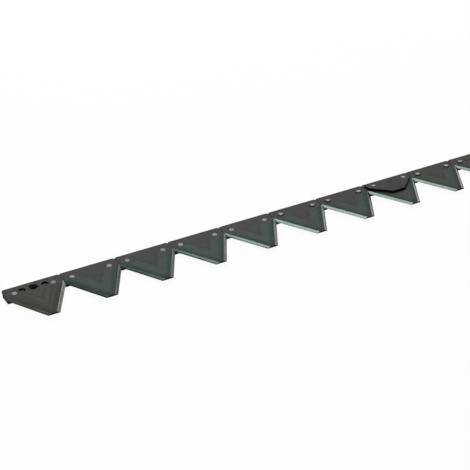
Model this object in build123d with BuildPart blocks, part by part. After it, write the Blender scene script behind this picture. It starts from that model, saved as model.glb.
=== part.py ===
from build123d import *
import os
from math import atan2, cos, hypot, sin

# Sickle bar mower knife: bevelled sections riveted side by side along a flat knife back.
# +X runs from the drive end to the far end, -Y points to the section tips, +Z is up.
# The origin is under the middle of the knife, on the underside of the knife back.
# All sizes are in millimetres.

# Row of sections
section_count = 10
section_pitch = 76.2
section_gap = 0.4

# One section, seen from above: straight sides from the back edge, then two cutting edges
section_length = 77.5
section_thickness = 2.5
side_length = 23.8
tip_width = 15.4
back_corner = 2.0

# Ground bevel on each cutting edge, measured square to the edge
bevel_width = 3.4
edge_facet_width = 1.3
edge_facet_height = 1.0
edge_land = 0.3

# Knife back, the flat bar under the sections
back_width = 18.0
back_thickness = 5.0
back_inset = 4.5
back_edge_break = 0.4

# Rivets: all end level with the underside of the knife back, and flush or with a raised head on top
rivet_spacing = 50.8
rivet_clearance = 0.05
flush_diameter = 8.0
shank_diameter = 6.5
raised_head_diameter = 8.4
raised_head_top_diameter = 7.2
raised_head_height = 1.6
flush_section_count = 5

# Holes of the drive section: one through hole for the drive bolt, two beside it in the plate only
drive_hole_row = 12.0
drive_bolt_diameter = 8.5
drive_recess_diameter = 11.5
locating_hole_diameter = 9.0
locating_hole_spacing = 30.0

# Wear plate, riveted on top of one section near the far end and set a little towards the drive end
sections_past_wear_plate = 2
wear_offset = 1.0
wear_thickness = 3.4
wear_width = 70.5
wear_back_inset = 5.0
wear_side_length = 11.7
wear_nose_width = 20.0
wear_length = 35.2
wear_corner_radius = 2.0
wear_rim = 0.5

# Worked out from the sizes above
half_width = (section_pitch - section_gap) / 2
back_y = section_length / 2
tip_y = back_y - section_length
shoulder_y = back_y - side_length
rivet_y = back_y - back_inset - back_width / 2
section_top = back_thickness + section_thickness
wear_top = section_top + wear_thickness
wear_back_y = back_y - wear_back_inset
wear_section = section_count - sections_past_wear_plate
rivet_sides = (-rivet_spacing / 2, rivet_spacing / 2)
standing = (Align.CENTER, Align.CENTER, Align.MIN)
sections = range(1, section_count + 1)
flush_sections = [index for index in sections if index <= flush_section_count and index != wear_section]
raised_sections = [index for index in sections if index > flush_section_count and index != wear_section]


def section_x(index):
    """Middle of a section, counted from 1 at the drive end."""
    return (index - (section_count + 1) / 2) * section_pitch


def rivet_points(sections, height=0):
    """Places of both rivets of each section named, at one height."""
    return [(section_x(index) + side, rivet_y, height) for index in sections for side in rivet_sides]


def rivet_hole_radius(index):
    """Radius of the rivet holes through one section and the knife back under it."""
    diameter = flush_diameter if index in flush_sections else shank_diameter
    return diameter / 2 + rivet_clearance


def mirrored(half):
    """Closed outline made of a right half and its mirror image across the middle line."""
    return [*half, *[(-x, y) for x, y in reversed(half)]]


def bevel_plane(index, side):
    """Plane square to one cutting edge, with x inwards and y up from the section's top face."""
    run = half_width - tip_width / 2
    rise = shoulder_y - tip_y
    slant = atan2(run, rise)
    inward = (-side * cos(slant), sin(slant), 0)
    along = (sin(slant), side * cos(slant), 0)
    shoulder = (section_x(index) + side * half_width, shoulder_y, section_top)
    return Plane(origin=shoulder, x_dir=inward, z_dir=along)


def ground_section(index):
    """One section: a flat blank with bevelled cutting edges and two rivet holes."""
    edge_length = hypot(half_width - tip_width / 2, shoulder_y - tip_y)
    edge_top = section_thickness - edge_land
    facet_top = edge_top - edge_facet_height
    with BuildPart() as section:
        with BuildSketch(Plane(origin=(section_x(index), 0, back_thickness))):
            with BuildLine():
                half = [
                    (half_width - back_corner, back_y),
                    (half_width, back_y - back_corner),
                    (half_width, shoulder_y),
                    (tip_width / 2, tip_y),
                ]
                Polyline(*mirrored(half), close=True)
            make_face()
        extrude(amount=section_thickness)
        for side in (-1, 1):
            with BuildSketch(bevel_plane(index, side)):
                with BuildLine():
                    Polyline(
                        (bevel_width, 0),
                        (edge_facet_width, -facet_top),
                        (0, -edge_top),
                        (-bevel_width, -edge_top),
                        (-bevel_width, section_thickness),
                        (bevel_width, section_thickness),
                        close=True,
                    )
                make_face()
            extrude(amount=edge_length + bevel_width, both=True, mode=Mode.SUBTRACT)
        with Locations(*rivet_points([index], section_top)):
            Hole(rivet_hole_radius(index), section_thickness)
        if index == 1:
            with Locations((section_x(index), back_y - drive_hole_row, section_top)):
                Hole(drive_recess_diameter / 2, section_thickness)
                with GridLocations(locating_hole_spacing, 0, 2, 1):
                    Hole(locating_hole_diameter / 2, section_thickness)
    return section


os.makedirs("parts", exist_ok=True)

# Knife back: a flat bar with its rivet holes and the drive bolt hole
with BuildPart() as knife_back:
    with BuildSketch(Plane.XY):
        with Locations((0, rivet_y)):
            Rectangle(section_count * section_pitch - section_gap, back_width)
    extrude(amount=back_thickness)
    chamfer(knife_back.edges().filter_by(Axis.X), back_edge_break)
    for index in sections:
        with Locations(*rivet_points([index], back_thickness)):
            Hole(rivet_hole_radius(index), back_thickness)
    with Locations((section_x(1), back_y - drive_hole_row, back_thickness)):
        Hole(drive_bolt_diameter / 2, back_thickness)
knife_back.part.label = "knife_back"
export_step(knife_back.part, "parts/knife_back.step")

# Sections: the drive section first, then the rest along the knife back
for index in sections:
    name = "drive_section" if index == 1 else f"knife_section_{index:02d}"
    section = ground_section(index)
    section.part.label = name
    export_step(section.part, f"parts/{name}.step")

# Wear plate: a nosed plate with a bevelled rim and two rivet holes
with BuildPart() as wear_plate:
    with BuildSketch(Plane(origin=(section_x(wear_section) - wear_offset, 0, section_top))) as wear_outline:
        with BuildLine():
            wear_half = [
                (wear_width / 2, wear_back_y),
                (wear_width / 2, wear_back_y - wear_side_length),
                (wear_nose_width / 2, wear_back_y - wear_length),
            ]
            Polyline(*mirrored(wear_half), close=True)
        make_face()
        fillet(wear_outline.vertices(), wear_corner_radius)
    extrude(amount=wear_thickness)
    chamfer(wear_plate.faces().sort_by(Axis.Z)[-1].edges(), wear_rim)
    with Locations(*rivet_points([wear_section], wear_top)):
        Hole(rivet_hole_radius(wear_section), wear_thickness)
wear_plate.part.label = "wear_plate"
export_step(wear_plate.part, "parts/wear_plate.step")

# Flush rivets, which end level with the sections near the drive end
with BuildPart() as flush_rivets:
    with Locations(*rivet_points(flush_sections)):
        Cylinder(flush_diameter / 2, section_top, align=standing)
flush_rivets.part.label = "flush_rivets"
export_step(flush_rivets.part, "parts/flush_rivets.step")

# Raised rivets, whose heads stand on top of the sections further out
with BuildPart() as raised_rivets:
    with Locations(*rivet_points(raised_sections)):
        Cylinder(shank_diameter / 2, section_top, align=standing)
    with Locations(*rivet_points(raised_sections, section_top)):
        Cone(raised_head_diameter / 2, raised_head_top_diameter / 2, raised_head_height, align=standing)
raised_rivets.part.label = "raised_rivets"
export_step(raised_rivets.part, "parts/raised_rivets.step")

# Long rivets through the wear plate, its section and the knife back
with BuildPart() as wear_plate_rivets:
    with Locations(*rivet_points([wear_section])):
        Cylinder(shank_diameter / 2, wear_top, align=standing)
wear_plate_rivets.part.label = "wear_plate_rivets"
export_step(wear_plate_rivets.part, "parts/wear_plate_rivets.step")
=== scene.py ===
"""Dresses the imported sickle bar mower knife: ground sections, knife back, wear plate and set rivets."""

import math

import bpy
import numpy as np
from mathutils import Matrix, Vector
from mathutils.geometry import delaunay_2d_cdt


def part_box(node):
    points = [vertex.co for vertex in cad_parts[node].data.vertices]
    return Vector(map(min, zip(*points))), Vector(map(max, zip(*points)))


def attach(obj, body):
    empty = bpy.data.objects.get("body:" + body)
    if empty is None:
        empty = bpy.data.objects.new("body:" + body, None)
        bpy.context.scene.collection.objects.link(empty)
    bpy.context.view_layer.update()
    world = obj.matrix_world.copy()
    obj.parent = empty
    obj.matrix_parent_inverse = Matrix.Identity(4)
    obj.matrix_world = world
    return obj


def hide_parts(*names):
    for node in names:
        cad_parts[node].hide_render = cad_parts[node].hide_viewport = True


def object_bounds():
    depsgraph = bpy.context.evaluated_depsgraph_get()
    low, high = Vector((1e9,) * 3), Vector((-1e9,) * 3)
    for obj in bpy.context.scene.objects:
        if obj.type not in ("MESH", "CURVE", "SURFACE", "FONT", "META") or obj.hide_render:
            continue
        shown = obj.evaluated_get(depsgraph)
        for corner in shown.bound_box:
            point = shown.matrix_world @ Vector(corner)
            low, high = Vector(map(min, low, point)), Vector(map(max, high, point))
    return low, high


bl_info = {
    "name": "Mower Knife Finish",
    "version": (1, 0, 0),
    "blender": (4, 5, 0),
    "location": "3D View > Sidebar > Mower Knife",
    "description": "Ground sections, knife back, wear plate and rivets of a sickle bar mower knife",
    "category": "Object",
}

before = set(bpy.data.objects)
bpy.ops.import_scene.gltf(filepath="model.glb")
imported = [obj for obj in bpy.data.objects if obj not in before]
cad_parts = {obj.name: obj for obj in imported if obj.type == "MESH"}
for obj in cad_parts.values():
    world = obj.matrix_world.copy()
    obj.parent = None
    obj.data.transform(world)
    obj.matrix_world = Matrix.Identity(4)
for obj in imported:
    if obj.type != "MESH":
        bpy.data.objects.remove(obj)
cad_low, cad_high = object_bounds()
second_low, second_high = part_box("knife_section_02")
third_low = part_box("knife_section_03")[0]
bar_low, bar_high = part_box("knife_back")
plate_low, plate_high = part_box("wear_plate")
flush_low, flush_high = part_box("flush_rivets")
raised_low, raised_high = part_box("raised_rivets")
long_low, long_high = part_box("wear_plate_rivets")

MM = 0.001
RIVET_ROW = (bar_low.y + bar_high.y) / 2

# Finish numbers of a section's faces
PLATE, BEVEL, SIDE = 0, 1, 2

# Heat zones of a section's plate: distances from the cutting edge over which one tone gives way to the next
RIM_ZONE = (4.8 * MM, 6.8 * MM)
EDGE_ZONE = (6.0 * MM, 13.0 * MM)
BAND_ZONE = (16.0 * MM, 25.0 * MM)
# Places along the section where the tip's darker zone (partly painted shade from the shaded tip face) ends,
# the back's plain grey begins and the heat lines weaken
TIP_ZONE = (second_low.y + 3.0 * MM, second_low.y + 12.0 * MM)
BACK_ZONE = (13.0 * MM, 23.0 * MM)
LINE_ZONE = (10.0 * MM, 24.0 * MM)
# Where a bevel's dark band, painted shade on bevels that face the far end, ends, from the cutting edge, and
# the painted highlight line beyond it, from the bevel's crest
DARK_BAND = (2.0 * MM, 2.7 * MM)
CREST_HIGHLIGHT = (0.5 * MM, 1.2 * MM)
# Places along the knife over which plates and bevels turn to the far end's tones; the plates also darken
# there, painted shade where less light falls
PLATE_FADE = (-0.10, 0.30)
BEVEL_FADE = (-0.15, 0.20)

# Studio floor: radius of its flat part, outer radius, how fast the rim rises, and how strongly it glows
FLOOR_FLAT = 8.0
FLOOR_RADIUS = 13.0
FLOOR_RISE = 0.11
FLOOR_GLOW = 0.95


def length(name, description, default):
    """A size in metres that the panel can change."""
    return bpy.props.FloatProperty(
        name=name, description=description, default=default, precision=5, subtype="DISTANCE", unit="LENGTH"
    )


def colour(name, description, default):
    """A linear colour that the panel can change."""
    return bpy.props.FloatVectorProperty(
        name=name, description=description, default=default, size=3, min=0.0, max=1.0, subtype="COLOR"
    )


def number(name, description, default, least):
    """A whole number that the panel can change."""
    return bpy.props.IntProperty(name=name, description=description, default=default, min=least)


def level(name, description, default):
    """A strength of light that the panel can change."""
    return bpy.props.FloatProperty(name=name, description=description, default=default, min=0.0)


def spot(name, description, default):
    """A place in metres that the panel can change."""
    return bpy.props.FloatVectorProperty(
        name=name, description=description, default=default, subtype="TRANSLATION"
    )


def heading(name, description, default):
    """A direction that the panel can change."""
    return bpy.props.FloatVectorProperty(name=name, description=description, default=default, subtype="XYZ")


class KnifeSizes(bpy.types.PropertyGroup):
    """Sizes of the knife's pieces, in metres."""

    section_count: number("Sections", "Number of sections along the knife back", 10, 2)
    pitch: length("Pitch", "From one section's middle to the next", third_low.x - second_low.x)
    gap: length("Gap", "Between two neighbouring sections", third_low.x - second_high.x)
    section_length: length("Section length", "From back edge to tip", second_high.y - second_low.y)
    section_thickness: length("Section thickness", "Of the plate", second_high.z - second_low.z)
    side_length: length("Side length", "Straight side from the back edge to the shoulder", 23.8 * MM)
    tip_width: length("Tip width", "Across the blunt tip", 15.4 * MM)
    back_corner: length("Back corner", "Cut off each back corner", 2.0 * MM)
    bevel_width: length("Bevel width", "Of the whole ground bevel, square to the edge", 3.4 * MM)
    facet_width: length("Edge facet width", "Of the steeper facet at the edge", 1.3 * MM)
    facet_height: length("Edge facet height", "Of the steeper facet at the edge", 1.0 * MM)
    edge_land: length("Edge land", "Flat left under the cutting edge", 0.3 * MM)
    grind_wander: length("Grind wander", "How far the grinding line strays", 0.05 * MM)
    plate_rounding: length("Plate rounding", "Worn edge of the section's plain sides", 0.25 * MM)
    bar_rounding: length("Bar rounding", "Rolled edge of the knife back", 0.4 * MM)
    hole_rounding: length("Hole rounding", "Broken edge of each hole", 0.15 * MM)
    rivet_spacing: length("Rivet spacing", "Between the two rivets of one section", 50.8 * MM)
    rivet_gap: length("Rivet gap", "Radial gap between a rivet and its hole", 0.05 * MM)
    flush_diameter: length("Flush rivet diameter", "Of a rivet that ends flush", flush_high.y - flush_low.y)
    shank_diameter: length("Shank diameter", "Of a raised or long rivet", long_high.y - long_low.y)
    flush_count: number("Flush sections", "Sections from the drive end with flush rivets", 5, 0)
    head_diameter: length("Head diameter", "Of a raised head at its foot", raised_high.y - raised_low.y)
    head_top_diameter: length("Head top diameter", "Of a raised head's flat top", 7.2 * MM)
    bolt_diameter: length("Drive bolt hole", "Through the knife back", 8.5 * MM)
    recess_diameter: length("Drive recess", "Hole in the drive section over the bolt hole", 11.5 * MM)
    locating_diameter: length("Locating hole", "Hole in the drive section beside the recess", 9.0 * MM)
    locating_spacing: length("Locating spacing", "Between the two locating holes", 30.0 * MM)
    hole_row: length("Hole row", "From the back edge to the drive holes", 12.0 * MM)
    wear_section: number("Wear plate on", "Section that carries the wear plate", 8, 1)
    wear_side: length("Wear plate side", "Straight side of the wear plate", 11.7 * MM)
    wear_nose: length("Wear plate nose", "Width of the wear plate's front", 20.0 * MM)
    wear_corner: length("Wear plate corner", "Corner radius seen from above", 2.0 * MM)
    wear_rim: length("Wear plate rim", "Rounding of the top rim", 0.5 * MM)


class KnifeColours(bpy.types.PropertyGroup):
    """Base colours of the knife's finishes, linear."""

    temper_grey: colour("Temper grey", "Back of a section's plate", (0.074, 0.073, 0.069))
    temper_middle: colour("Temper middle", "Middle of a section's plate", (0.067, 0.075, 0.069))
    temper_band: colour("Temper band", "Light band between the middle and the edges", (0.074, 0.098, 0.087))
    temper_edge: colour("Temper edge", "Dark band along the cutting edges", (0.036, 0.065, 0.050))
    # Darker tip zone: partly painted shade from the shaded tip face, partly a darker tip
    tip_tone_and_shade: colour("Temper tip", "Darker zone at a section's blunt tip", (0.042, 0.046, 0.043))
    ground_green: colour("Ground bevel", "Bevels ground through the lacquer", (0.082, 0.121, 0.103))
    ground_far: colour("Far ground bevel", "The same bevels towards the far end", (0.096, 0.121, 0.107))
    # Painted shade on the edge facet of bevels that face the far end
    far_facet_shade: colour("Edge band", "Dark band at a cutting edge", (0.030, 0.038, 0.034))
    ground_bare: colour("Bare bevel", "Bevels of the drive section", (0.32, 0.315, 0.275))
    # Painted shade on the drive section's edge facets that face the far end
    far_facet_shade_bare: colour("Bare edge band", "Band at the drive section's cutting edges", (0.14, 0.14, 0.125))
    bare_grey: colour("Bare grey", "Plate of the drive section", (0.075, 0.073, 0.066))
    bare_edge: colour("Bare rim", "Plate of the drive section near its edges", (0.047, 0.046, 0.040))
    # Painted highlight along the crest of bevels that face the far end
    crest_highlight_green: colour("Crest line", "Highlight line along bevels that face the far end", (0.150, 0.172, 0.160))
    crest_highlight_bare: colour("Bare crest line", "The same line on the drive section", (0.30, 0.30, 0.26))
    rim_tint: colour("Rim tint", "Multiplied into the plates beside their bevels", (0.76, 0.88, 0.82))
    # Warmer tone plus painted shade towards the far end, where less light falls
    far_tone_and_shade: colour("Far tint", "Multiplied into the plates towards the far end", (0.80, 0.72, 0.67))
    # Painted shadow along the foot of the wear plate, where the plate shades the section
    foot_shadow_tone: colour("Shadow", "Dirt along the foot of the wear plate", (0.008, 0.009, 0.008))
    sheared: colour("Sheared edge", "Plain edges of the section plates", (0.022, 0.025, 0.022))
    # Near-black on the knife back's edges, sides and hole walls: painted shade; the flat faces keep the bar's
    # grey
    bar_side_shade: colour("Bar black", "Edges of the knife back", (0.010, 0.011, 0.010))
    bar_flat_grey: colour("Bar rubbed", "Flat faces of the knife back", (0.070, 0.068, 0.062))
    wear_grey: colour("Wear plate", "Top of the wear plate", (0.055, 0.054, 0.049))
    # Near-black on the wear plate's sides and lower rim: painted shade
    wear_edge_shade: colour("Wear plate edge", "Sides of the wear plate", (0.008, 0.009, 0.008))
    rivet_grey: colour("Rivet", "Set rivets", (0.237, 0.233, 0.224))
    floor_white: colour("Floor", "Studio floor", (0.90, 0.90, 0.90))


class StudioSettings(bpy.types.PropertyGroup):
    """Light and camera of the studio."""

    sky_level: level("Sky", "Strength of the even light", 0.18)
    panel_level: level("Panel", "Radiance of the overhead panel", 4.05)
    panel_width: length("Panel width", "Of the overhead panel, along the knife", 3.12)
    panel_depth: length("Panel depth", "Of the overhead panel, across the knife", 2.0)
    panel_place: spot("Panel place", "Middle of the overhead panel", (0.64, 1.55, 2.5))
    wing_level: level("Wing", "Radiance of the small panel beside the overhead one", 4.4)
    wing_width: length("Wing width", "Of the small panel, along the knife", 0.90)
    wing_depth: length("Wing depth", "Of the small panel, across the knife", 0.54)
    wing_place: spot("Wing place", "Middle of the small panel", (-1.07, 0.49, 2.5))
    side_level: level("Side panel", "Radiance of the panel at the far end", 1.15)
    side_width: length("Side panel width", "Across the knife", 1.9)
    side_height: length("Side panel height", "Upright", 1.2)
    side_place: spot("Side panel place", "Middle of the panel at the far end", (2.52, 1.63, 0.72))
    camera_place: spot("Camera place", "Eye point", (-0.78913, -1.25525, 0.86230))
    camera_forward: heading("Camera forward", "Viewing direction", (0.42763, 0.74900, -0.50609))
    camera_right: heading("Camera right", "To the picture's right", (0.86656, -0.49902, -0.00633))
    lens: bpy.props.FloatProperty(
        name="Lens", description="Focal length on a 36 mm sensor, in millimetres", default=98.73, min=1.0
    )


def section_middle(sizes, index):
    """Middle of a section along the knife, counted from 1 at the drive end."""
    return (index - (sizes.section_count + 1) / 2) * sizes.pitch


def rivet_places(sizes, sections):
    """Places of both rivets of each section named: the section's middle plus and minus half the spacing."""
    middles = np.array([section_middle(sizes, index) for index in sections])
    across = middles[:, None] + np.array([-0.5, 0.5]) * sizes.rivet_spacing
    return np.stack([across.ravel(), np.full(across.size, RIVET_ROW)], axis=1)


def sides_of(corners):
    """Unit direction and inward normal of each side of a counterclockwise polygon."""
    run = np.roll(corners, -1, axis=0) - corners
    run = run / np.linalg.norm(run, axis=1, keepdims=True)
    return run, np.stack([-run[:, 1], run[:, 0]], axis=1)


def inset_corners(corners, insets):
    """Polygon with each side moved inwards by its own inset: a corner is where two moved neighbours cross."""
    run, inward = sides_of(corners)
    base = corners + inward * insets[:, None]
    base_before = np.roll(base, 1, axis=0)
    run_before = np.roll(run, 1, axis=0)
    reach = np.sum(inward * (base - base_before), axis=1) / np.sum(inward * run_before, axis=1)
    return base_before + run_before * reach[:, None]


def round_corners(corners, radius, steps):
    """Polygon with each corner replaced by an arc that touches both its sides.

    The arc's middle lies on the corner's bisector, and its points go from one touching point to the other.
    """
    run, inward = sides_of(corners)
    before = np.roll(run, 1, axis=0)
    turn = np.arctan2(before[:, 0] * run[:, 1] - before[:, 1] * run[:, 0], np.sum(before * run, axis=1))
    first = corners - before * (radius * np.tan(turn / 2))[:, None]
    middle = first + np.roll(inward, 1, axis=0) * radius
    start = np.arctan2(*(first - middle).T[::-1])
    angle = start[:, None] + turn[:, None] * np.linspace(0, 1, steps)
    arc = middle[:, None] + radius * np.stack([np.cos(angle), np.sin(angle)], axis=2)
    return arc.reshape(-1, 2)


def side_shares(parts):
    """Side number of each point of a ring and its share along that side, from the points on each side."""
    sides = np.repeat(np.arange(len(parts)), parts)
    share = np.concatenate([np.arange(count) / count for count in parts])
    return sides, share


def edge_rings(corners, insets, heights, parts, wander=None):
    """An edge profile carried round a polygon, as rings of points from the bottom up.

    Station by station, each side is moved in by its inset and the corners are found again. A point at share t
    of a side is (1 - t) times its first corner plus t times its second, in plan and in height, and wander
    then shifts it inwards.
    """
    sides, share = side_shares(parts)
    after = (sides + 1) % len(parts)
    stations = np.stack([inset_corners(corners, row) for row in insets])
    plan = stations[:, sides] * (1 - share)[:, None] + stations[:, after] * share[:, None]
    if wander is not None:
        plan = plan + sides_of(corners)[1][sides] * wander[..., None]
    rise = heights[:, sides] * (1 - share) + heights[:, after] * share
    return np.concatenate([plan, rise[..., None]], axis=2)


def hole_rings(place, radius, low, high, rounding, steps=48):
    """Wall of a round hole, bottom up: a circle whose radius opens by the rounding at both mouths."""
    turn = -np.arange(steps) * 2 * np.pi / steps
    opening = np.array([1.0, 0.29, 0.0, 0.0, 0.29, 1.0]) * rounding
    climb = np.array([0.0, 0.29, 1.0]) * rounding
    levels = np.concatenate([low + climb, high - climb[::-1]])
    x = place[0] + (radius + opening)[:, None] * np.cos(turn)
    y = place[1] + (radius + opening)[:, None] * np.sin(turn)
    return np.stack([x, y, np.repeat(levels[:, None], steps, axis=1)], axis=2)


def wall_quads(ids):
    """Four-sided faces between neighbouring rings of a grid of point numbers, closed round each ring."""
    beside = np.roll(ids, -1, axis=1)
    return np.stack([ids[:-1], beside[:-1], beside[1:], ids[1:]], axis=2).reshape(-1, 4)


def fill_loops(loops):
    """Triangles that fill the first loop and leave the others open, by a constrained Delaunay split.

    The first loop runs counterclockwise and the others clockwise, so the split knows which side is solid.
    """
    points = np.concatenate(loops) / MM
    counts = np.array([len(loop) for loop in loops])
    starts = np.cumsum(counts) - counts
    outlines = [(np.arange(count) + start).tolist() for count, start in zip(counts, starts)]
    filled = delaunay_2d_cdt(points.tolist(), [], outlines, 2, 1e-6)
    source = np.array(filled[3]).reshape(-1)
    return source[np.array(filled[2])]


def new_piece(name, points, faces, finishes, marks, smooth):
    """Mesh object at the origin, with a finish number and a smooth flag for each face."""
    mesh = bpy.data.meshes.new(name)
    mesh.from_pydata(points.tolist(), [], [face for group in faces for face in group.tolist()])
    for finish in finishes:
        mesh.materials.append(finish)
    mesh.polygons.foreach_set("material_index", np.concatenate(marks).astype(np.int32))
    mesh.polygons.foreach_set("use_smooth", np.concatenate(smooth).astype(bool))
    mesh.update()
    if mesh.validate():
        raise RuntimeError(f"{name}: the mesh has faces that can't be used")
    piece = bpy.data.objects.new(name, mesh)
    bpy.context.scene.collection.objects.link(piece)
    return piece


def plate_piece(name, outer, holes, finishes, outer_marks, outer_smooth, hole_mark):
    """Closed plate: the carried edge profile, the hole walls, and flat faces that fill the end rings.

    outer holds the edge rings and holes the hole walls, both bottom up. outer_marks gives each edge face its
    finish, hole_mark that of the hole walls, and the flat faces take the first finish.
    """
    grids = [outer, *holes]
    counts = np.array([grid.shape[0] * grid.shape[1] for grid in grids])
    starts = np.cumsum(counts) - counts
    ids = [np.arange(n).reshape(grid.shape[:2]) + s for n, s, grid in zip(counts, starts, grids)]
    bottom = np.concatenate([grid[0] for grid in ids])
    top = np.concatenate([grid[-1] for grid in ids])
    top_faces = top[fill_loops([grid[-1, :, :2] for grid in grids])]
    bottom_faces = bottom[fill_loops([grid[0, :, :2] for grid in grids])][:, ::-1]
    walls = [wall_quads(grid) for grid in ids]
    hole_faces = sum(len(wall) for wall in walls[1:])
    flat_faces = len(top_faces) + len(bottom_faces)
    marks = [outer_marks.ravel(), np.full(hole_faces, hole_mark), np.zeros(flat_faces)]
    smooth = [outer_smooth.ravel(), np.ones(hole_faces), np.zeros(flat_faces)]
    points = np.concatenate([grid.reshape(-1, 3) for grid in grids])
    return new_piece(name, points, [*walls, top_faces, bottom_faces], finishes, marks, smooth)


def turned_pieces(name, places, profile, finish, steps=48):
    """Several turned bodies in one mesh: a profile of radius and height swept round each place's axis.

    A point is the place plus radius times cosine and sine of the turn, at the profile's height, and a single
    point on the axis closes each end.
    """
    turn = np.arange(steps) * 2 * np.pi / steps
    circle = np.stack([np.cos(turn), np.sin(turn)], axis=1)
    radius, height = profile[1:-1, 0], profile[1:-1, 1]
    plan = places[:, None, None, :] + radius[None, :, None, None] * circle[None, None]
    rise = np.broadcast_to(height[None, :, None, None], plan.shape[:3] + (1,))
    rings = np.concatenate([plan, rise], axis=3)
    bottom = np.concatenate([places, np.full((len(places), 1), profile[0, 1])], axis=1)
    top = np.concatenate([places, np.full((len(places), 1), profile[-1, 1])], axis=1)
    ids = np.arange(rings[..., 0].size).reshape(rings.shape[:3])
    first_pole = ids.size
    beside = np.roll(ids, -1, axis=2)
    walls = np.stack([ids[:, :-1], beside[:, :-1], beside[:, 1:], ids[:, 1:]], axis=3).reshape(-1, 4)
    poles = np.broadcast_to((first_pole + np.arange(len(places)))[:, None], ids[:, 0].shape)
    feet = np.stack([poles, beside[:, 0], ids[:, 0]], axis=2).reshape(-1, 3)
    crowns = np.stack([poles + len(places), ids[:, -1], beside[:, -1]], axis=2).reshape(-1, 3)
    points = np.concatenate([rings.reshape(-1, 3), bottom, top])
    count = len(walls) + len(feet) + len(crowns)
    return new_piece(name, points, [walls, feet, crowns], [finish], [np.zeros(count)], [np.ones(count)])


def section_corners(sizes, index):
    """Outline of one section from above, counterclockwise from its right shoulder."""
    middle = section_middle(sizes, index)
    half = (sizes.pitch - sizes.gap) / 2
    back = second_high.y
    shoulder = back - sizes.side_length
    tip = back - sizes.section_length
    cut = sizes.back_corner
    nose = sizes.tip_width / 2
    return np.array([
        (middle + half, shoulder), (middle + half, back - cut), (middle + half - cut, back),
        (middle - half + cut, back), (middle - half, back - cut), (middle - half, shoulder),
        (middle - nose, tip), (middle + nose, tip),
    ])


def section_profile(sizes):
    """Insets and heights of the plain edge and the ground edge, as stations from the underside up.

    The plain edge is upright with both rims rounded. The ground edge has a small land, a steep edge facet and
    a flatter main bevel, and each corner between them is softened by points a little before and after it.
    """
    thick = sizes.section_thickness
    soft = 0.12 * MM
    r = sizes.plate_rounding
    plain = np.array([
        (r, 0.0), (0.29 * r, 0.29 * r), (0.0, r),
        (0.0, 0.3 * thick), (0.0, 0.45 * thick), (0.0, 0.55 * thick),
        (0.0, thick - r), (0.29 * r, thick - 0.29 * r), (r, thick),
    ])
    land = np.array([0.0, sizes.edge_land])
    joint = np.array([sizes.facet_width, sizes.edge_land + sizes.facet_height])
    crest = np.array([sizes.bevel_width, thick])
    facet_run = (joint - land) / np.linalg.norm(joint - land)
    bevel_run = (crest - joint) / np.linalg.norm(crest - joint)
    below = crest - soft * bevel_run
    beyond = crest + np.array([soft, 0.0])
    ground = np.array([
        (0.05 * MM, 0.0), (0.015 * MM, 0.015 * MM), (0.0, 0.05 * MM), land,
        joint - soft * facet_run, joint + soft * bevel_run, below, (below + 2 * crest + beyond) / 4, beyond,
    ])
    return plain, ground


def section_piece(sizes, name, index, holes, finishes):
    """One section: plain edges at the back, sides and tip, ground edges on both slanting sides.

    The grinding lines stray by a sum of three sines of the share along the edge, fading out at both ends.
    """
    corners = section_corners(sizes, index)
    plain, ground = section_profile(sizes)
    parts = np.array([4, 1, 8, 1, 4, 36, 3, 36])
    cutting = np.array([False, False, False, False, False, True, False, True])
    beside_cut = cutting | np.roll(cutting, 1)
    insets = np.where(cutting, ground[:, :1], plain[:, :1])
    heights = second_low.z + np.where(beside_cut, ground[:, 1:], plain[:, 1:])
    sides, share = side_shares(parts)
    phase = np.random.default_rng(index).uniform(0, 2 * np.pi, (3, len(parts)))[:, sides]
    wave = 0.5 * np.sin(13 * share + phase[0]) + 0.3 * np.sin(31 * share + phase[1])
    wave = wave + 0.2 * np.sin(74 * share + phase[2])
    window = np.clip(np.minimum(share, 1 - share) * 8, 0, 1) * cutting[sides]
    strength = np.array([0, 0, 0, 0, 0.5, 0.5, 1, 1, 1]) * sizes.grind_wander
    rings = edge_rings(corners, insets, heights, parts, strength[:, None] * wave * window)
    strip = np.arange(len(plain) - 1)[:, None]
    ground_marks = np.array([SIDE, SIDE, SIDE, BEVEL, BEVEL, BEVEL, PLATE, PLATE])[:, None]
    marks = np.where(cutting[sides], ground_marks, SIDE)
    marks = np.where(strip == strip[-1], PLATE, marks)
    smooth = np.broadcast_to(np.isin(strip, (0, 1, 6, 7)), marks.shape)
    low, high = second_low.z, second_high.z
    walls = [hole_rings(place, radius, low, high, sizes.hole_rounding) for place, radius in holes]
    return plate_piece(name, rings, walls, finishes, marks, smooth, SIDE)


def rivet_holes(sizes, index):
    """Both rivet holes of one section, as places and radii."""
    diameter = sizes.flush_diameter if index <= sizes.flush_count else sizes.shank_diameter
    return [(place, diameter / 2 + sizes.rivet_gap) for place in rivet_places(sizes, [index])]


def drive_holes(sizes):
    """The recess and the two locating holes of the drive section, as places and radii."""
    middle = section_middle(sizes, 1)
    row = second_high.y - sizes.hole_row
    apart = sizes.locating_spacing / 2
    locating = sizes.locating_diameter / 2
    return [
        ((middle, row), sizes.recess_diameter / 2),
        ((middle - apart, row), locating),
        ((middle + apart, row), locating),
    ]


def place_on_frame(piece, slot, *nodes):
    """The piece rides on the knife and stands for its nodes; the slot argument is not used."""
    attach(piece, "root")
    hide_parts(*nodes)


def wire(tree, kind, sockets=None, **settings):
    """New node with its settings, and each socket given by name or number set to a value or linked."""
    node = tree.nodes.new(kind)
    for key, value in settings.items():
        setattr(node, key, value)
    for key, value in (sockets or {}).items():
        if isinstance(value, bpy.types.NodeSocket):
            tree.links.new(value, node.inputs[key])
        else:
            node.inputs[key].default_value = value
    return node


def calc(tree, operation, *values):
    """Result of one Math node."""
    return wire(tree, "ShaderNodeMath", dict(enumerate(values)), operation=operation).outputs[0]


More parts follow.
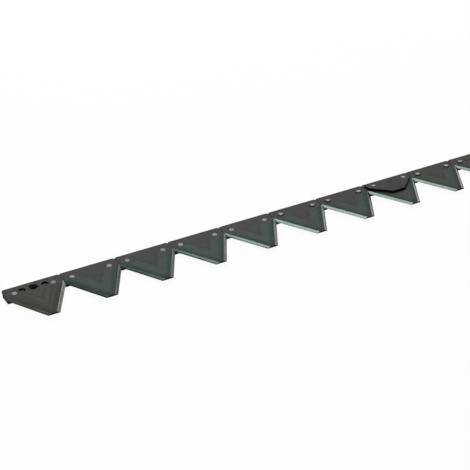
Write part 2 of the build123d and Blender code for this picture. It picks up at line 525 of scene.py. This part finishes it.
def spread(tree, value, low, high, to_low=0.0, to_high=1.0):
    """A value eased from one range to another and kept inside it."""
    sockets = {"Value": value, "From Min": low, "From Max": high, "To Min": to_low, "To Max": to_high}
    return wire(tree, "ShaderNodeMapRange", sockets, interpolation_type="SMOOTHSTEP").outputs[0]


def blend(tree, factor, first, second, how="MIX"):
    """Mix of two colours."""
    sockets = {0: factor, 6: first, 7: second}
    return wire(tree, "ShaderNodeMix", sockets, data_type="RGBA", blend_type=how).outputs[2]


def cloud(tree, place, scale, detail=3.0, rough=0.5):
    """Noise of about one over scale metres across."""
    sockets = {"Vector": place, "Scale": scale, "Detail": detail, "Roughness": rough}
    return wire(tree, "ShaderNodeTexNoise", sockets).outputs[0]


def drawn_out(tree, place, scale, turn=0.0):
    """Coordinates turned about the vertical and stretched, so that a pattern becomes streaks."""
    sockets = {"Vector": place, "Scale": scale, "Rotation": (0.0, 0.0, turn)}
    return wire(tree, "ShaderNodeMapping", sockets).outputs[0]


def split(tree, vector):
    """Outputs x, y and z of a vector."""
    return wire(tree, "ShaderNodeSeparateXYZ", {0: vector}).outputs


def facing(tree):
    """Outputs x, y and z of the surface's normal."""
    return split(tree, wire(tree, "ShaderNodeNewGeometry").outputs["Normal"])


def stray(tree, noise, reach, value):
    """A value moved up or down by noise, half its reach either way."""
    return calc(tree, "MULTIPLY_ADD", calc(tree, "SUBTRACT", noise, 0.5), reach, value)


def solid(values):
    """Colour with full alpha."""
    return (*values, 1.0)


def new_finish(name, **constants):
    """Material with a Principled shader whose constant sockets are set directly."""
    finish = bpy.data.materials.new(name)
    finish.use_nodes = True
    tree = finish.node_tree
    shader = tree.nodes["Principled BSDF"]
    for key, value in constants.items():
        shader.inputs[key.replace("_", " ")].default_value = value
    place = wire(tree, "ShaderNodeTexCoord").outputs["Object"]
    return finish, tree, shader, place


def paint(tree, shader, tone, light, rough):
    """Base colour of tone times light, and the roughness, linked to a shader."""
    shaded = wire(tree, "ShaderNodeVectorMath", {0: tone, "Scale": light}, operation="SCALE").outputs[0]
    tree.links.new(shaded, shader.inputs["Base Color"])
    tree.links.new(rough, shader.inputs["Roughness"])


def dent(tree, shader, height, depth):
    """Bump of a given depth in metres on a shader."""
    sockets = {"Height": height, "Strength": 1.0, "Distance": depth}
    tree.links.new(wire(tree, "ShaderNodeBump", sockets).outputs[0], shader.inputs["Normal"])


def across_section(tree, parts, sizes):
    """Distance from the knife's drive end, and from the nearer side of a point's own section."""
    from_start = calc(tree, "SUBTRACT", parts[0], cad_low.x - sizes.gap / 2)
    return from_start, calc(tree, "PINGPONG", from_start, sizes.pitch / 2)


def edge_distance(tree, place, sizes):
    """Distance of a point from the nearest cutting edge, and the point's x, y and z.

    It is the distance from the section's side times the edge's run along the knife's depth, plus the
    distance behind the shoulder times its run along the knife, both over the edge's length.
    """
    half = (sizes.pitch - sizes.gap) / 2
    across = half - sizes.tip_width / 2
    along = sizes.section_length - sizes.side_length
    slant = math.hypot(across, along)
    shoulder = second_high.y - sizes.side_length
    parts = split(tree, place)
    from_side = across_section(tree, parts, sizes)[1]
    forward = calc(tree, "MULTIPLY", calc(tree, "SUBTRACT", parts[1], shoulder), across / slant)
    return calc(tree, "MULTIPLY_ADD", from_side, along / slant, forward), parts


def painted_foot_shadow(tree, parts, sizes):
    """Share of painted shadow along the front of the wear plate's foot.

    The distance outside the plate is the larger of that from the nose and that from the nearer flank.
    The painted shadow fades with it, and also beside the plate and behind its flanks.
    """
    half = (plate_high.x - plate_low.x) / 2
    flank = plate_high.y - sizes.wear_side
    along, across = flank - plate_low.y, half - sizes.wear_nose / 2
    slant = math.hypot(along, across)
    aside = calc(tree, "ABSOLUTE", calc(tree, "SUBTRACT", parts[0], (plate_low.x + plate_high.x) / 2))
    sideways = calc(tree, "MULTIPLY", calc(tree, "SUBTRACT", aside, half), along / slant)
    behind = calc(tree, "SUBTRACT", parts[1], flank)
    past_flank = calc(tree, "MULTIPLY_ADD", behind, -across / slant, sideways)
    past_nose = calc(tree, "SUBTRACT", plate_low.y, parts[1])
    outside = calc(tree, "MAXIMUM", past_flank, past_nose)
    near = spread(tree, outside, 0.8 * MM, 4.2 * MM, 0.72, 0.0)
    within = spread(tree, aside, half, half + 3.0 * MM, 1.0, 0.0)
    ahead = spread(tree, behind, 0.0, 4.0 * MM, 1.0, 0.0)
    return calc(tree, "MULTIPLY", near, calc(tree, "MULTIPLY", within, ahead))


def crest_highlight(tree, distance, parts, sizes):
    """Share of the painted highlight line along a bevel's crest, only in each section's half towards the far
    end.
    """
    middle = sizes.pitch / 2
    far_half = spread(tree, calc(tree, "FLOORED_MODULO", parts[0], sizes.pitch), middle, middle + 4.0 * MM)
    beyond = calc(tree, "SUBTRACT", distance, sizes.bevel_width)
    return calc(tree, "MULTIPLY", far_half, spread(tree, beyond, *CREST_HIGHLIGHT, 1.0, 0.0))


def tempered_plate(name, sizes, tones, zones, contrast):
    """Tempered plate under thin lacquer: bands of colour along the cutting edges, plain grey behind them.

    zones gives the tones of back, middle, band, edge, tip and crest; the tip tone is partly painted shade and
    the crest tone is a painted highlight.
    colour goes from edge to band to middle, and the bands fade into the back's tone between the shoulders
    and the rivets. Heat lines follow the same distance, as strong as contrast says.
    """
    back, middle, band, edge, tip, crest = zones
    finish, tree, shader, place = new_finish(name, Specular_IOR_Level=0.07)
    distance, parts = edge_distance(tree, place, sizes)
    mottle = cloud(tree, place, 70.0, 4.0, 0.6)
    uneven = stray(tree, mottle, 7.0 * MM, distance)
    wavy = stray(tree, mottle, 10.0 * MM, parts[1])
    inner = blend(tree, spread(tree, uneven, *BAND_ZONE), solid(band), solid(middle))
    zoned = blend(tree, spread(tree, uneven, *EDGE_ZONE), solid(edge), inner)
    # Tip zone: partly painted shade from the shaded tip face
    zoned = blend(tree, spread(tree, parts[1], *TIP_ZONE, 0.75, 0.0), zoned, solid(tip))
    toned = blend(tree, spread(tree, wavy, *BACK_ZONE), zoned, solid(back))
    warm = spread(tree, cloud(tree, place, 38.0, 2.0), 0.50, 0.72, 0.0, 0.35)
    base = blend(tree, warm, toned, solid((back[0], 0.91 * back[1], 0.91 * back[2])))
    # Painted shade and a warmer tone towards the far end
    base = blend(tree, spread(tree, parts[0], *PLATE_FADE), base, solid(tones.far_tone_and_shade), "MULTIPLY")
    base = blend(tree, spread(tree, distance, *RIM_ZONE, 1.0, 0.0), base, solid(tones.rim_tint), "MULTIPLY")
    # Painted shadow along the foot of the wear plate
    base = blend(tree, painted_foot_shadow(tree, parts, sizes), base, solid(tones.foot_shadow_tone))
    # Painted highlight line along the crest of bevels that face the far end
    base = blend(tree, crest_highlight(tree, distance, parts, sizes), base, solid(crest))
    heat = {"W": stray(tree, mottle, 4.0 * MM, distance), "Scale": 230.0, "Detail": 1.0}
    lines = wire(tree, "ShaderNodeTexNoise", heat, noise_dimensions="1D").outputs[0]
    depth = spread(tree, wavy, *LINE_ZONE, contrast, 0.25 * contrast)
    line_light = calc(tree, "MULTIPLY_ADD", spread(tree, lines, 0.3, 0.72, -1.0, 1.0), depth, 1.0)
    streaks = cloud(tree, drawn_out(tree, place, (40.0, 700.0, 40.0)), 1.0)
    light = calc(tree, "MULTIPLY", line_light, spread(tree, streaks, 0.25, 0.75, 0.90, 1.12))
    grain = cloud(tree, place, 2600.0)
    rough = calc(tree, "MULTIPLY_ADD", grain, 0.10, spread(tree, mottle, 0.3, 0.7, 0.42, 0.54))
    paint(tree, shader, base, light, rough)
    dent(tree, shader, calc(tree, "MULTIPLY_ADD", streaks, 0.7, grain), 0.03 * MM)
    return finish


def ground_bevel(name, sizes, tone, far_tone, edge, rough):
    """Ground steel: fine grinding lines across the bevel and an uneven film over it.

    Bevels that face the far end have a darker band at their cutting edge: painted shade, as these bevels turn
    away from the light.
    """
    finish, tree, shader, place = new_finish(name, Metallic=1.0)
    distance, parts = edge_distance(tree, place, sizes)
    to_far_end = spread(tree, facing(tree)[0], 0.0, 0.2)
    # Painted shade: darker edge band on bevels that face the far end
    dark = calc(tree, "MULTIPLY", to_far_end, spread(tree, distance, *DARK_BAND, 1.0, 0.0))
    ground = blend(tree, spread(tree, parts[0], *BEVEL_FADE), solid(tone), solid(far_tone))
    base = blend(tree, dark, ground, solid(edge))
    lines = cloud(tree, drawn_out(tree, place, (2400.0, 2400.0, 200.0), 0.5), 1.0, 2.0)
    film = spread(tree, cloud(tree, place, 90.0), 0.3, 0.7, 0.90, 1.10)
    light = calc(tree, "MULTIPLY", spread(tree, lines, 0.25, 0.75, 0.92, 1.08), film)
    paint(tree, shader, base, light, spread(tree, lines, 0.2, 0.8, 0.8 * rough, 1.2 * rough))
    dent(tree, shader, lines, 0.004 * MM)
    return finish


def dark_scale(name, tone, gloss, grain_scale, depth):
    """Dark rolled or sheared steel: uneven tone, dull patches and fine pits."""
    finish, tree, shader, place = new_finish(name, Specular_IOR_Level=gloss)
    patches = spread(tree, cloud(tree, place, 55.0, 4.0, 0.6), 0.3, 0.7, 0.78, 1.22)
    pits = cloud(tree, place, grain_scale, 4.0, 0.65)
    light = calc(tree, "MULTIPLY", patches, spread(tree, pits, 0.3, 0.7, 0.85, 1.15))
    paint(tree, shader, tuple(tone), light, spread(tree, pits, 0.25, 0.75, 0.48, 0.70))
    dent(tree, shader, pits, depth)
    return finish


def set_rivet(name, tone, sizes):
    """Bare rivet steel: hammered facets, painted light on faces turned up and painted shade on the sides, and
    dark round the rim.

    The distance from a rivet's axis comes from where a point lies in its own section: it is the root of the
    sum of squares of the distances along and across the knife. Each rivet has a slightly different tone.
    """
    finish, tree, shader, place = new_finish(name, Metallic=0.6)
    marks = cloud(tree, place, 420.0, 2.0)
    grain = cloud(tree, place, 2400.0)
    # Painted light and shade: faces turned up stay bright, the sides go dark
    lit_top = spread(tree, facing(tree)[2], 0.55, 0.97, 0.10, 1.0)
    parts = split(tree, place)
    from_start, from_side = across_section(tree, parts, sizes)
    along = calc(tree, "SUBTRACT", from_side, (sizes.pitch - sizes.rivet_spacing) / 2)
    across = calc(tree, "SUBTRACT", parts[1], RIVET_ROW)
    squares = calc(tree, "MULTIPLY_ADD", along, along, calc(tree, "MULTIPLY", across, across))
    reach = calc(tree, "MULTIPLY_ADD", marks, 2.0 * MM, calc(tree, "SQRT", squares))
    rim = spread(tree, reach, 3.2 * MM, 4.8 * MM, 1.0, 0.45)
    rivet = calc(tree, "FLOOR", calc(tree, "DIVIDE", from_start, sizes.pitch / 2))
    own = wire(tree, "ShaderNodeTexWhiteNoise", {"W": rivet}, noise_dimensions="1D").outputs["Value"]
    light = calc(tree, "MULTIPLY", lit_top, rim)
    light = calc(tree, "MULTIPLY", light, spread(tree, marks, 0.3, 0.7, 0.82, 1.18))
    light = calc(tree, "MULTIPLY", light, calc(tree, "MULTIPLY_ADD", own, 0.24, 0.88))
    paint(tree, shader, tuple(tone), light, spread(tree, grain, 0.25, 0.75, 0.38, 0.55))
    dent(tree, shader, calc(tree, "MULTIPLY_ADD", marks, 2.0, grain), 0.05 * MM)
    return finish


class KNIFE_OT_back(bpy.types.Operator):
    """Knife back: a rolled flat bar with rounded long edges, its rivet holes and the drive bolt hole"""

    bl_idname = "knife.back"
    bl_label = "Knife Back"

    def execute(self, context):
        sizes, tones = context.scene.knife_sizes, context.scene.knife_colours
        low, high = bar_low, bar_high
        corners = np.array([(high.x, low.y), (high.x, high.y), (low.x, high.y), (low.x, low.y)])
        r, thick = sizes.bar_rounding, high.z - low.z
        profile = np.array([
            (r, 0.0), (0.5 * r, 0.13 * r), (0.13 * r, 0.5 * r), (0.0, r), (0.0, thick - r),
            (0.13 * r, thick - 0.5 * r), (0.5 * r, thick - 0.13 * r), (r, thick),
        ])
        insets = np.repeat(profile[:, :1], 4, axis=1) * np.array([0.25, 1.0, 0.25, 1.0])
        heights = low.z + np.repeat(profile[:, 1:], 4, axis=1)
        rings = edge_rings(corners, insets, heights, np.array([4, 60, 4, 60]))
        holes = [hole for index in range(1, sizes.section_count + 1) for hole in rivet_holes(sizes, index)]
        holes.append(((section_middle(sizes, 1), second_high.y - sizes.hole_row), sizes.bolt_diameter / 2))
        walls = [hole_rings(place, radius, low.z, high.z, sizes.hole_rounding) for place, radius in holes]
        strip = np.indices((len(profile) - 1, rings.shape[1]))[0]
        # Flat faces take the bar's grey; edges, sides and hole walls take a near-black that is painted shade
        finishes = [
            dark_scale("flat_grey_bar", tones.bar_flat_grey, 0.3, 900.0, 0.03 * MM),
            dark_scale("black_bar", tones.bar_side_shade, 0.05, 900.0, 0.04 * MM),
        ]
        rounded = strip != len(profile) // 2 - 1
        piece = plate_piece("knife_bar", rings, walls, finishes, np.ones_like(strip), rounded, 1)
        place_on_frame(piece, "black_bar", "knife_back")
        return {"FINISHED"}


class KNIFE_OT_drive_section(bpy.types.Operator):
    """Drive section: the first section, of bare grey steel, with the drive recess and two locating holes"""

    bl_idname = "knife.drive_section"
    bl_label = "Drive Section"

    def execute(self, context):
        sizes, tones = context.scene.knife_sizes, context.scene.knife_colours
        plate, rim = tones.bare_grey, tones.bare_edge
        # Edge and tip zones take the rim tone, which at the tip is partly painted shade; the last zone is the
        # painted crest highlight
        zones = (plate, plate, plate, rim, rim, tones.crest_highlight_bare)
        finishes = [
            tempered_plate("bare_steel", sizes, tones, zones, 0.20),
            ground_bevel("bare_bevel", sizes, tones.ground_bare, tones.ground_bare, tones.far_facet_shade_bare, 0.15),
            dark_scale("bare_side", tones.sheared, 0.10, 700.0, 0.04 * MM),
        ]
        holes = [*rivet_holes(sizes, 1), *drive_holes(sizes)]
        piece = section_piece(sizes, "section_drive", 1, holes, finishes)
        place_on_frame(piece, "bare_steel", "drive_section")
        return {"FINISHED"}


class KNIFE_OT_sections(bpy.types.Operator):
    """Plain sections: lacquered plates with two ground cutting edges each"""

    bl_idname = "knife.sections"
    bl_label = "Sections"

    def execute(self, context):
        sizes, tones = context.scene.knife_sizes, context.scene.knife_colours
        # The tip tone is partly painted shade and the last zone is the painted crest highlight
        zones = (
            tones.temper_grey, tones.temper_middle, tones.temper_band,
            tones.temper_edge, tones.tip_tone_and_shade, tones.crest_highlight_green,
        )
        finishes = [
            tempered_plate("lacquered_steel", sizes, tones, zones, 0.09),
            ground_bevel(
                "lacquered_bevel", sizes, tones.ground_green, tones.ground_far, tones.far_facet_shade, 0.21,
            ),
            dark_scale("sheared_side", tones.sheared, 0.10, 700.0, 0.04 * MM),
        ]
        for index in range(2, sizes.section_count + 1):
            holes = rivet_holes(sizes, index)
            piece = section_piece(sizes, f"section_{index:02d}", index, holes, finishes)
            place_on_frame(piece, "lacquered_steel", f"knife_section_{index:02d}")
        return {"FINISHED"}


class KNIFE_OT_wear_plate(bpy.types.Operator):
    """Wear plate: a nosed plate with rounded corners and rim on top of one section"""

    bl_idname = "knife.wear_plate"
    bl_label = "Wear Plate"

    def execute(self, context):
        sizes, tones = context.scene.knife_sizes, context.scene.knife_colours
        low, high = plate_low, plate_high
        middle = (low.x + high.x) / 2
        flank, nose = high.y - sizes.wear_side, sizes.wear_nose / 2
        outline = np.array([
            (high.x, flank), (high.x, high.y), (low.x, high.y), (low.x, flank),
            (middle - nose, low.y), (middle + nose, low.y),
        ])
        corners = round_corners(outline, sizes.wear_corner, 5)
        r, thick = sizes.wear_rim, high.z - low.z
        bend = np.linspace(0, np.pi / 2, 6)
        profile = np.concatenate([
            [(0.2 * MM, 0.0), (0.0, 0.2 * MM)],
            np.stack([r * (1 - np.cos(bend)), thick - r * (1 - np.sin(bend))], axis=1),
        ])
        insets = np.repeat(profile[:, :1], len(corners), axis=1)
        heights = low.z + np.repeat(profile[:, 1:], len(corners), axis=1)
        rings = edge_rings(corners, insets, heights, np.ones(len(corners), int))
        holes = rivet_holes(sizes, sizes.wear_section)
        walls = [hole_rings(place, radius, low.z, high.z, sizes.hole_rounding) for place, radius in holes]
        strip = np.indices((len(profile) - 1, rings.shape[1]))[0]
        # The top keeps the plate's grey; sides, lower rim and hole walls take a near-black that is painted
        # shade
        finishes = [
            dark_scale("blackened_steel", tones.wear_grey, 0.08, 1400.0, 0.03 * MM),
            dark_scale("shaded_wear_edge", tones.wear_edge_shade, 0.12, 900.0, 0.04 * MM),
        ]
        edge = (strip < 5).astype(int)
        piece = plate_piece("nosed_wear_plate", rings, walls, finishes, edge, strip > 1, 1)
        place_on_frame(piece, "blackened_steel", "wear_plate")
        return {"FINISHED"}


class KNIFE_OT_rivets(bpy.types.Operator):
    """Rivets: flush ones near the drive end, raised ones further out, and long ones through the wear plate"""

    bl_idname = "knife.rivets"
    bl_label = "Rivets"

    def execute(self, context):
        sizes, tones = context.scene.knife_sizes, context.scene.knife_colours
        finish = set_rivet("rivet_steel", tones.rivet_grey, sizes)
        wide, shank = sizes.flush_diameter / 2, sizes.shank_diameter / 2
        foot, head = sizes.head_diameter / 2, sizes.head_top_diameter / 2
        flat, crown, long_top = second_high.z, raised_high.z, long_high.z
        ease = 0.15 * MM
        start = [(0.0, 0.0), (shank - ease, 0.0), (shank, ease)]
        flush = np.array([
            (0.0, 0.0), (wide - ease, 0.0), (wide, ease), (wide, flat - 0.25 * MM),
            (wide - 0.06 * MM, flat - 0.12 * MM), (wide - 0.22 * MM, flat - 0.01 * MM),
            (0.5 * wide, flat + 0.03 * MM), (0.0, flat + 0.04 * MM),
        ])
        raised = np.array([
            *start, (shank, flat - 0.02 * MM), (shank + 0.02 * MM, flat), (foot - 0.06 * MM, flat),
            (foot, flat + 0.06 * MM), (foot - 0.12 * MM, flat + 0.5 * MM),
            (head + 0.2 * MM, crown - 0.42 * MM), (head + 0.02 * MM, crown - 0.2 * MM),
            (head - 0.2 * MM, crown - 0.06 * MM), (0.6 * head, crown - 0.01 * MM), (0.0, crown),
        ])
        through = np.array([
            *start, (shank, long_top - 0.25 * MM), (shank - 0.06 * MM, long_top - 0.12 * MM),
            (shank - 0.25 * MM, long_top - 0.04 * MM), (0.5 * shank, long_top - 0.01 * MM), (0.0, long_top),
        ])
        plain = [index for index in range(1, sizes.section_count + 1) if index != sizes.wear_section]
        groups = [
            ("rivets_flush", flush, [k for k in plain if k <= sizes.flush_count], "flush_rivets"),
            ("rivets_raised", raised, [k for k in plain if k > sizes.flush_count], "raised_rivets"),
            ("rivets_long", through, [sizes.wear_section], "wear_plate_rivets"),
        ]
        for name, profile, sections, node in groups:
            piece = turned_pieces(name, rivet_places(sizes, sections), profile, finish)
            place_on_frame(piece, "rivet_steel", node)
        return {"FINISHED"}


class KNIFE_OT_studio(bpy.types.Operator):
    """Studio: pale floor with an upturned rim, three soft panels, even sky light and the camera"""

    bl_idname = "knife.studio"
    bl_label = "Studio"

    def execute(self, context):
        scene, studio = context.scene, context.scene.knife_studio
        scene.view_settings.view_transform = "Standard"
        self.lay_floor(scene.knife_colours.floor_white)
        down = Matrix.Identity(4)
        inwards = (-Vector(studio.side_place)).to_track_quat("-Z", "Y").to_matrix().to_4x4()
        panels = (
            (studio.panel_place, down, studio.panel_width, studio.panel_depth, studio.panel_level),
            (studio.wing_place, down, studio.wing_width, studio.wing_depth, studio.wing_level),
            (studio.side_place, inwards, studio.side_width, studio.side_height, studio.side_level),
        )
        for panel in panels:
            self.hang_panel(scene, *panel)
        self.light_sky(scene, studio)
        self.set_camera(scene, studio)
        return {"FINISHED"}

    def lay_floor(self, tone):
        """Round floor: flat in the middle, then its height grows with the square of the distance beyond."""
        rim = np.linspace(FLOOR_FLAT + 0.4, FLOOR_RADIUS, 14)
        radius = np.concatenate([np.linspace(0.5, FLOOR_FLAT, 12), rim])
        steps = 72
        turn = np.arange(steps) * 2 * np.pi / steps
        rise = np.clip(radius - FLOOR_FLAT, 0.0, None) ** 2 * FLOOR_RISE
        x = radius[:, None] * np.cos(turn)
        y = radius[:, None] * np.sin(turn)
        z = np.repeat(rise[:, None], steps, axis=1)
        points = np.concatenate([np.stack([x, y, z], axis=2).reshape(-1, 3), [(0.0, 0.0, 0.0)]])
        ids = np.arange(x.size).reshape(x.shape)
        beside = np.roll(ids, -1, axis=1)
        middle = np.full(steps, x.size)
        rings = np.stack([ids[:-1], ids[1:], beside[1:], beside[:-1]], axis=2).reshape(-1, 4)
        centre = np.stack([middle, ids[0], beside[0]], axis=1)
        finish = bpy.data.materials.new("studio_floor")
        finish.use_nodes = True
        tree = finish.node_tree
        tree.nodes.remove(tree.nodes["Principled BSDF"])
        path = wire(tree, "ShaderNodeLightPath").outputs
        seen = calc(tree, "MAXIMUM", path["Is Camera Ray"], path["Is Glossy Ray"])
        seen = calc(tree, "MAXIMUM", seen, path["Is Transmission Ray"])
        matt = wire(tree, "ShaderNodeBsdfDiffuse", {"Color": solid(tone)})
        glow = wire(tree, "ShaderNodeEmission", {"Color": (1.0, 1.0, 1.0, 1.0), "Strength": 1.0})
        share = calc(tree, "MULTIPLY", seen, FLOOR_GLOW)
        mix = wire(tree, "ShaderNodeMixShader", {0: share, 1: matt.outputs[0], 2: glow.outputs[0]})
        tree.links.new(mix.outputs[0], tree.nodes["Material Output"].inputs["Surface"])
        count = len(rings) + len(centre)
        floor = new_piece("floor", points, [rings, centre], [finish], [np.zeros(count)], [np.ones(count)])

    def hang_panel(self, scene, place, turn, width, depth, radiance):
        """Rectangular soft panel, facing down before its turn; its power is radiance times area times pi."""
        lamp = bpy.data.lights.new("soft_panel", "AREA")
        lamp.shape = "RECTANGLE"
        lamp.size, lamp.size_y = width, depth
        lamp.energy = radiance * width * depth * math.pi
        panel = bpy.data.objects.new("soft_panel", lamp)
        panel.matrix_world = Matrix.Translation(place) @ turn
        scene.collection.objects.link(panel)

    def light_sky(self, scene, studio):
        """Even light from all round."""
        world = bpy.data.worlds.new("studio_sky")
        world.use_nodes = True
        sky = world.node_tree.nodes["Background"]
        sky.inputs["Color"].default_value = (1.0, 1.0, 1.0, 1.0)
        sky.inputs["Strength"].default_value = studio.sky_level
        scene.world = world

    def set_camera(self, scene, studio):
        """Camera whose axes are right, up and back, the up axis being right crossed with forward."""
        forward = Vector(studio.camera_forward).normalized()
        right = Vector(studio.camera_right)
        right = (right - forward * right.dot(forward)).normalized()
        up = right.cross(forward)
        turn = Matrix((right, up, -forward)).transposed().to_4x4()
        lens = bpy.data.cameras.new("photo_camera")
        lens.sensor_width = 36.0
        lens.lens = studio.lens
        lens.clip_start, lens.clip_end = 0.01, 60.0
        camera = bpy.data.objects.new("photo_camera", lens)
        camera.matrix_world = Matrix.Translation(studio.camera_place) @ turn
        scene.collection.objects.link(camera)
        scene.camera = camera


class KNIFE_PT_panel(bpy.types.Panel):
    """Sidebar panel that lists the knife's pieces, sizes and colours"""

    bl_idname = "KNIFE_PT_panel"
    bl_label = "Mower Knife"
    bl_space_type = "VIEW_3D"
    bl_region_type = "UI"
    bl_category = "Mower Knife"

    def draw(self, context):
        for operator in OPERATORS:
            self.layout.operator(operator.bl_idname)
        for group in (context.scene.knife_sizes, context.scene.knife_colours, context.scene.knife_studio):
            box = self.layout.box()
            for key in group.__annotations__:
                box.prop(group, key)


GROUPS = {"knife_sizes": KnifeSizes, "knife_colours": KnifeColours, "knife_studio": StudioSettings}
OPERATORS = (
    KNIFE_OT_back,
    KNIFE_OT_drive_section,
    KNIFE_OT_sections,
    KNIFE_OT_wear_plate,
    KNIFE_OT_rivets,
    KNIFE_OT_studio,
)


def register():
    """Make the classes known and hang the settings on the scene."""
    for kind in (*GROUPS.values(), *OPERATORS, KNIFE_PT_panel):
        bpy.utils.register_class(kind)
    for key, group in GROUPS.items():
        setattr(bpy.types.Scene, key, bpy.props.PointerProperty(type=group))


def unregister():
    """Take the settings and classes away again."""
    for key in GROUPS:
        delattr(bpy.types.Scene, key)
    for kind in reversed((*GROUPS.values(), *OPERATORS, KNIFE_PT_panel)):
        bpy.utils.unregister_class(kind)


def main():
    """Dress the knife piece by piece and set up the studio."""
    register()
    bpy.ops.knife.back()
    bpy.ops.knife.drive_section()
    bpy.ops.knife.sections()
    bpy.ops.knife.wear_plate()
    bpy.ops.knife.rivets()
    bpy.ops.knife.studio()


if __name__ == "__main__":
    main()
